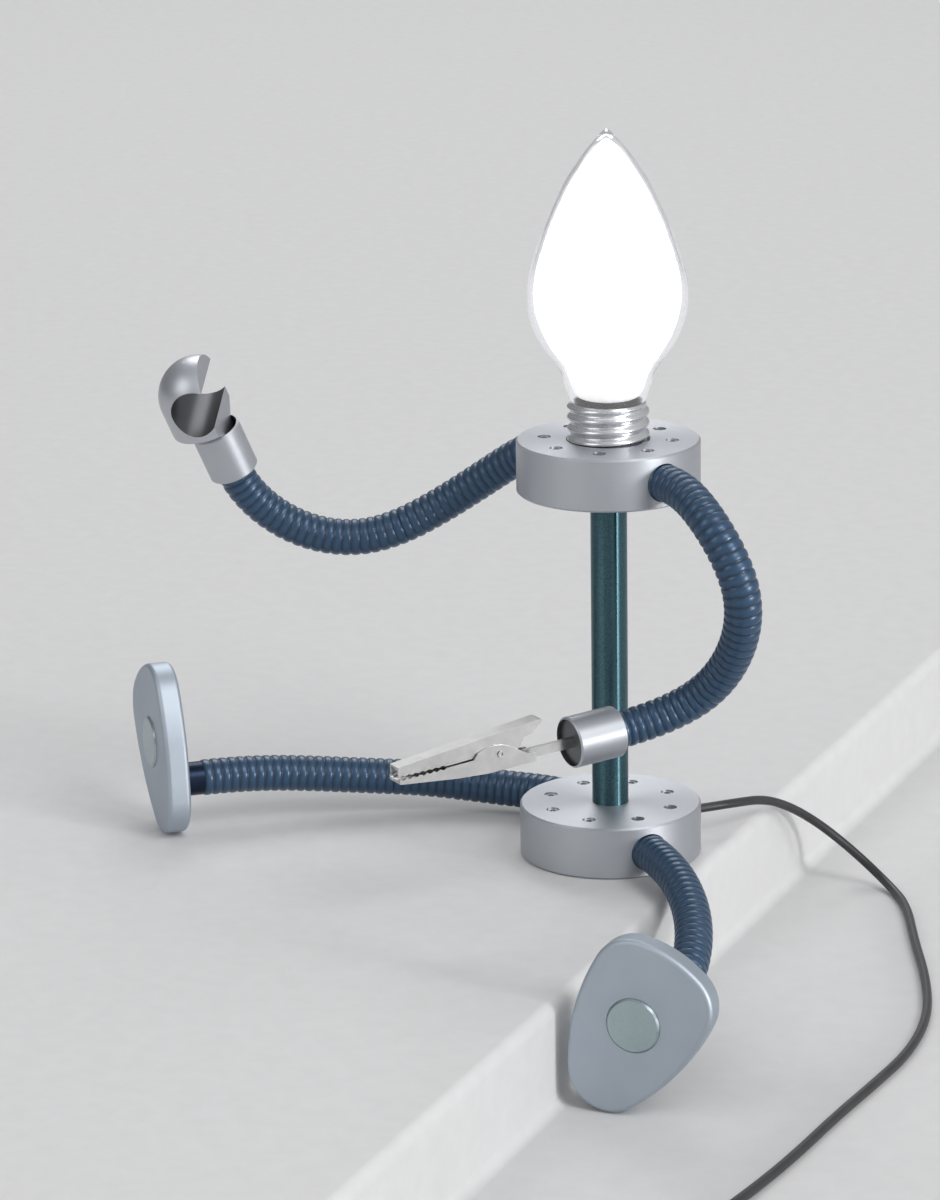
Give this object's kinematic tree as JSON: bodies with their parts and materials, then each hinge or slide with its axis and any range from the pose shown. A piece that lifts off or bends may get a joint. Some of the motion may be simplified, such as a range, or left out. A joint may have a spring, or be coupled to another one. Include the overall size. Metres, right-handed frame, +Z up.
{
  "type": "figure lamp",
  "caption": "Seated desk figure that is a lamp: screw-in candle bulb for a head, round metal pucks on a post, bendable ribbed limbs, a grip hand, a clip hand and flat feet",
  "frame": {"origin": "centre of the hip puck's underside, where the figure sits", "axes": "+Z up along the post, -Y the way the figure faces, +X its left hand side"},
  "size_m": [0.419, 0.2383, 0.271],
  "materials": {
    "satin_aluminium": "satin, turned",
    "post_paint": "metallic satin",
    "neck_sleeve": "satin ribbed",
    "dark_steel": "blackened",
    "steel": "plain",
    "nickel": "nickel plated",
    "magnet": "bright",
    "ceramic": "glazed",
    "brass": "bright",
    "cap_metal": "bright",
    "black_glass": "gloss",
    "bulb_glass": "opal",
    "stem_glass": "clear",
    "filament": "lit",
    "cord_rubber": "satin",
    "black_plastic": "matte"
  },
  "bodies": {
    "torso": {"hip_housing": "satin_aluminium", "hip_base_plate": "satin_aluminium", "hip_base_screws": "dark_steel", "hip_set_screws": "dark_steel", "spine_tube": "post_paint", "spine_nut": "steel", "shoulder_housing": "satin_aluminium", "shoulder_base_plate": "satin_aluminium", "shoulder_base_screws": "dark_steel", "shoulder_set_screws": "dark_steel", "lampholder_body": "ceramic", "lampholder_shell": "brass", "lampholder_contact": "brass", "lamp_wires": "black_plastic", "terminal_block": "black_plastic", "cord_grommet": "cord_rubber", "right_arm_neck_root": "neck_sleeve", "left_arm_neck_root": "neck_sleeve", "right_leg_neck_root": "neck_sleeve", "left_leg_neck_root": "neck_sleeve", "cord_free": "cord_rubber", "cord_coil": "cord_rubber", "cord_tie": "cord_rubber", "plug_body": "cord_rubber", "plug_barrel": "nickel", "plug_insulator": "black_plastic"},
    "right_arm": {"right_arm_neck_middle": "neck_sleeve"},
    "right_wrist": {"right_arm_neck_end": "neck_sleeve", "right_wrist_collar": "satin_aluminium"},
    "right_hand": {"right_hand_grip": "satin_aluminium", "right_wrist_screw": "steel"},
    "left_arm": {"left_arm_neck_middle": "neck_sleeve"},
    "left_wrist": {"left_arm_neck_end": "neck_sleeve", "left_wrist_collar": "satin_aluminium"},
    "left_hand": {"clip_lower_jaw": "nickel", "clip_plug": "steel", "left_wrist_screw": "steel", "clip_pin": "nickel", "clip_spring": "nickel"},
    "clip_jaw": {"clip_upper_jaw": "nickel"},
    "right_leg": {"right_leg_neck_middle": "neck_sleeve"},
    "right_ankle": {"right_leg_neck_end": "neck_sleeve", "right_ankle_ferrule": "dark_steel"},
    "right_foot": {"right_foot_plate": "satin_aluminium", "right_foot_magnet": "magnet"},
    "left_leg": {"left_leg_neck_middle": "neck_sleeve"},
    "left_ankle": {"left_leg_neck_end": "neck_sleeve", "left_ankle_ferrule": "dark_steel"},
    "left_foot": {"left_foot_plate": "satin_aluminium", "left_foot_magnet": "magnet"},
    "bulb_rise": {"bulb_contact": "brass"},
    "bulb": {"bulb_cap": "cap_metal", "bulb_insulator": "black_glass", "bulb_glass": "bulb_glass", "bulb_stem": "stem_glass", "bulb_filaments": "filament"}
  },
  "joints": [
    {"name": "right_arm_bend", "type": "hinge", "parent": "torso", "child": "right_arm", "pos_m": [-0.0472, -0.01652, 0.1204], "axis": [-0.7846, 0.5954, 0.1729], "range_deg": [-25, 25], "deforming": ["right_arm_neck_root"]},
    {"name": "right_wrist_bend", "type": "hinge", "parent": "right_arm", "child": "right_wrist", "pos_m": [-0.07746, -0.0822, 0.10354], "axis": [-0.9372, 0.347, 0.0359], "range_deg": [-25, 25], "deforming": ["right_arm_neck_end"]},
    {"name": "right_hand_swivel", "type": "hinge", "parent": "right_wrist", "child": "right_hand", "pos_m": [-0.08034, -0.09732, 0.12116], "axis": [0.12, -0.4198, 0.8996], "range_deg": [-90, 90]},
    {"name": "left_arm_bend", "type": "hinge", "parent": "torso", "child": "left_arm", "pos_m": [0.052, 0.00827, 0.12411], "axis": [-0.2092, 0.9702, -0.1222], "range_deg": [-30, 12], "deforming": ["left_arm_neck_root"]},
    {"name": "left_wrist_bend", "type": "hinge", "parent": "left_arm", "child": "left_wrist", "pos_m": [0.04255, 0.00623, 0.06067], "axis": [-0.6959, 0.6634, -0.2749], "range_deg": [-20, 20], "deforming": ["left_arm_neck_end"]},
    {"name": "left_hand_swivel", "type": "hinge", "parent": "left_wrist", "child": "left_hand", "pos_m": [0.03678, -0.01545, 0.05335], "axis": [0.0903, -0.9938, -0.0652], "range_deg": [-90, 90]},
    {"name": "right_leg_bend", "type": "hinge", "parent": "torso", "child": "right_leg", "pos_m": [-0.0493, -0.01181, 0.0081], "axis": [0.0183, 0.0212, 0.9996], "range_deg": [-20, 20], "deforming": ["right_leg_neck_root"]},
    {"name": "right_ankle_bend", "type": "hinge", "parent": "right_leg", "child": "right_ankle", "pos_m": [-0.0793, -0.08812, 0.01597], "axis": [-0.9898, 0.1423, 0], "range_deg": [-20, 20], "deforming": ["right_leg_neck_end"]},
    {"name": "right_foot_swivel", "type": "hinge", "parent": "right_ankle", "child": "right_foot", "pos_m": [-0.08157, -0.11176, 0.01709], "axis": [-0.1, -0.995, 0], "range_deg": [-45, 45]},
    {"name": "left_leg_bend", "type": "hinge", "parent": "torso", "child": "left_leg", "pos_m": [0.05322, -0.00154, 0.0061], "axis": [0.1737, -0.0255, 0.9845], "range_deg": [-20, 20], "deforming": ["left_leg_neck_root"]},
    {"name": "left_ankle_bend", "type": "hinge", "parent": "left_leg", "child": "left_ankle", "pos_m": [0.10811, -0.03384, -0.01429], "axis": [-0.7738, -0.6335, 0], "range_deg": [-20, 20], "deforming": ["left_leg_neck_end"]},
    {"name": "left_foot_swivel", "type": "hinge", "parent": "left_ankle", "child": "left_foot", "pos_m": [0.12348, -0.05207, -0.01542], "axis": [0.6816, -0.7317, 0], "range_deg": [-45, 45]},
    {"name": "clip_open", "type": "hinge", "parent": "left_hand", "child": "clip_jaw", "pos_m": [0.04072, -0.05881, 0.05401], "axis": [-0.9959, -0.0905, 0], "range_deg": [0, 25], "stiffness_Nm_per_rad": 0.12, "springref_deg": -28.65},
    {"name": "bulb_lift", "type": "slide", "parent": "torso", "child": "bulb_rise", "axis": [0, 0, 1], "range_m": [0, 0.0076]},
    {"name": "bulb_turn", "type": "hinge", "parent": "bulb_rise", "child": "bulb", "pos_m": [0, 0, 0.1315], "axis": [0, 0, 1], "range_deg": [0, 755]}
  ],
  "couplings": [
    {"joint": "bulb_turn", "follows": "bulb_lift", "rad_per_m": 1731.4}
  ]
}
